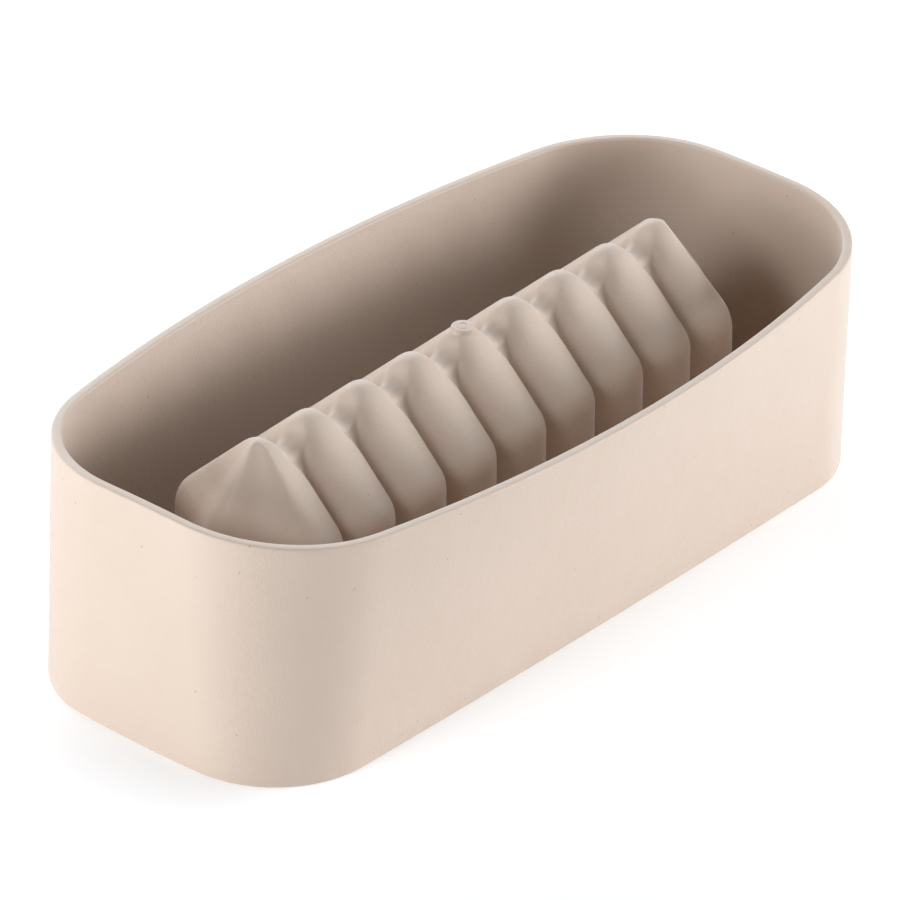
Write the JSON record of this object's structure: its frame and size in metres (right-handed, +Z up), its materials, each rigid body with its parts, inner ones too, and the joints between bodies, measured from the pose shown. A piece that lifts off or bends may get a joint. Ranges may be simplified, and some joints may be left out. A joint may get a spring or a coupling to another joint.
{
  "type": "silicone bar mould",
  "caption": "Silicone mould for a fluted, house-shaped bar, with a deep skirt round its cavity and a flat deck at its mouth.",
  "frame": {"origin": "middle of the flat deck face that the mould rests on when it is stored mouth down", "axes": "+X along the bar, +Y across it, +Z up from the deck face towards the skirt's rim"},
  "size_m": [0.298, 0.1468, 0.0849],
  "materials": {
    "silicone": "satin moulded silicone, warm beige"
  },
  "bodies": {
    "root": {"deck": "silicone", "skirt_front": "silicone", "skirt_back": "silicone", "skirt_left_end": "silicone", "skirt_right_end": "silicone", "skirt_rim": "silicone", "skirt_foot": "silicone", "cavity_foot": "silicone", "rib_1": "silicone", "rib_2": "silicone", "rib_3": "silicone", "rib_4": "silicone", "rib_5": "silicone", "rib_6": "silicone", "rib_7": "silicone", "rib_8": "silicone", "rib_9": "silicone", "gate_pad": "silicone", "gate_ring": "silicone"}
  },
  "joints": []
}
